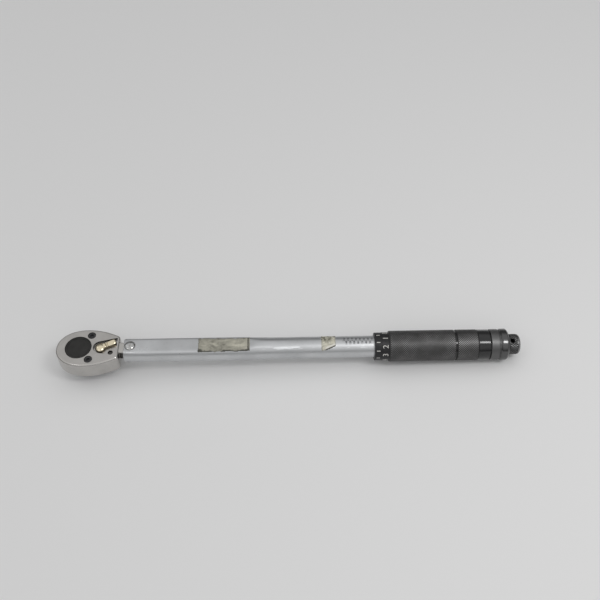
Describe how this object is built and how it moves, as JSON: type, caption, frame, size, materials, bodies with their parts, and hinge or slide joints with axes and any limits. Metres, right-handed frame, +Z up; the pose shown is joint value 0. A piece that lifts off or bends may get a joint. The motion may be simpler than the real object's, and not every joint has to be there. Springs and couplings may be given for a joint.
{
  "type": "click torque wrench",
  "caption": "Click-type torque wrench with a half-inch square drive, reversible ratchet head, pressed-flat chrome tube, turning micrometer grip with dial and an end lock knob.",
  "frame": {"origin": "centre of the square drive's end face, the lowest point of the wrench as it stands in the frame", "axes": "+X along the wrench from the drive to the handle, +Z up, so the square drive points down along -Z; +Y is the far side in the picture"},
  "size_m": [0.4698, 0.045, 0.0445],
  "materials": {
    "satin_chrome": "satin chrome plate, worn",
    "polished_chrome": "polished chrome plate",
    "steel": "machined steel, lightly oiled",
    "spring_steel": "dark spring steel",
    "black_oxide": "black oxide, near matt",
    "grip_black": "blackened steel, fine diamond knurl and gloss band",
    "dark_chrome": "dark polished plate",
    "brass": "machined"
  },
  "bodies": {
    "housing": {"tube_housing": "polished_chrome", "pivot_pin": "polished_chrome", "adjusting_nut": "brass", "nut_pin_upper": "steel", "nut_pin_lower": "steel", "main_spring": "spring_steel"},
    "head": {"head_body": "satin_chrome", "cover_plate": "steel", "cover_screw_far": "black_oxide", "cover_screw_near": "black_oxide"},
    "drive": {"drive_gear": "steel", "back_disc": "black_oxide", "drive_ball_spring": "spring_steel"},
    "drive_ball": {"drive_ball": "steel"},
    "lever": {"reversing_lever": "polished_chrome", "lever_clip": "steel", "pawl_spring": "spring_steel"},
    "pawl_plunger": {"pawl_plunger": "steel"},
    "pawl": {"pawl": "steel"},
    "block": {"tilt_block": "steel"},
    "plunger": {"plunger": "steel"},
    "thrust": {"spring_seat": "steel", "thrust_ball": "steel"},
    "handle": {"grip_sleeve": "grip_black", "end_cap": "dark_chrome", "adjusting_screw": "steel"},
    "lock_pusher": {"lock_pusher": "steel"},
    "lock_knob": {"lock_knob": "dark_chrome"},
    "lock_ball_left": {"lock_ball_left": "steel"},
    "lock_ball_right": {"lock_ball_right": "steel"}
  },
  "joints": [
    {"name": "head_pivot", "type": "hinge", "parent": "housing", "child": "head", "pos_m": [0.0521, 0, 0.0285], "axis": [0, 0, 1], "range_deg": [0, 1.2], "stiffness_Nm_per_rad": 100, "springref_deg": -7.79},
    {"name": "drive_spin", "type": "hinge", "parent": "head", "child": "drive", "pos_m": [0, 0, 0.0285], "axis": [0, 0, 1], "continuous": true},
    {"name": "drive_ball_press", "type": "slide", "parent": "drive", "child": "drive_ball", "axis": [0, 1, 0], "range_m": [0, 0.001], "stiffness_N_per_m": 1500, "deforming": ["drive_ball_spring"]},
    {"name": "lever_flip", "type": "hinge", "parent": "head", "child": "lever", "pos_m": [0.022, 0, 0.0285], "axis": [0, 0, 1], "range_deg": [-52, 0]},
    {"name": "pawl_plunger_press", "type": "slide", "parent": "lever", "child": "pawl_plunger", "axis": [0.8988, 0.4384, 0], "range_m": [0, 0.0004], "stiffness_N_per_m": 400, "deforming": ["pawl_spring"]},
    {"name": "pawl_shift", "type": "hinge", "parent": "head", "child": "pawl", "pos_m": [0, 0, 0.0285], "axis": [0, 0, 1], "range_deg": [0, 8]},
    {"name": "block_tilt", "type": "hinge", "parent": "housing", "child": "block", "pos_m": [0.1875, 0, 0.0285], "axis": [0, 0, 1], "range_deg": [-17, 0]},
    {"name": "plunger_slide", "type": "slide", "parent": "housing", "child": "plunger", "axis": [1, 0, 0], "range_m": [0, 0.0012]},
    {"name": "handle_advance", "type": "slide", "parent": "housing", "child": "thrust", "axis": [-1, 0, 0], "range_m": [0, 0.028], "deforming": ["main_spring"]},
    {"name": "handle_turn", "type": "hinge", "parent": "thrust", "child": "handle", "pos_m": [0.328, 0, 0.0285], "axis": [-1, 0, 0], "range_deg": [0, 5040]},
    {"name": "lock_advance", "type": "slide", "parent": "handle", "child": "lock_pusher", "axis": [1, 0, 0], "range_m": [0, 0.00125]},
    {"name": "lock_turn", "type": "hinge", "parent": "lock_pusher", "child": "lock_knob", "pos_m": [0.4056, 0, 0.0285], "axis": [1, 0, 0], "range_deg": [0, 360]},
    {"name": "lock_ball_left_slide", "type": "slide", "parent": "handle", "child": "lock_ball_left", "axis": [0, -1, 0], "range_m": [0, 0.0005]},
    {"name": "lock_ball_right_slide", "type": "slide", "parent": "handle", "child": "lock_ball_right", "axis": [0, 1, 0], "range_m": [0, 0.0005]}
  ],
  "couplings": [
    {"joint": "block_tilt", "follows": "head_pivot", "ratio": -14},
    {"joint": "plunger_slide", "follows": "head_pivot", "m_per_rad": 0.0529},
    {"joint": "pawl_shift", "follows": "lever_flip", "ratio": -0.15385},
    {"joint": "handle_turn", "follows": "handle_advance", "rad_per_m": 3141.6},
    {"joint": "lock_turn", "follows": "lock_advance", "rad_per_m": 5026.5},
    {"joint": "lock_ball_left_slide", "follows": "lock_advance", "ratio": 0.4},
    {"joint": "lock_ball_right_slide", "follows": "lock_advance", "ratio": 0.4}
  ]
}
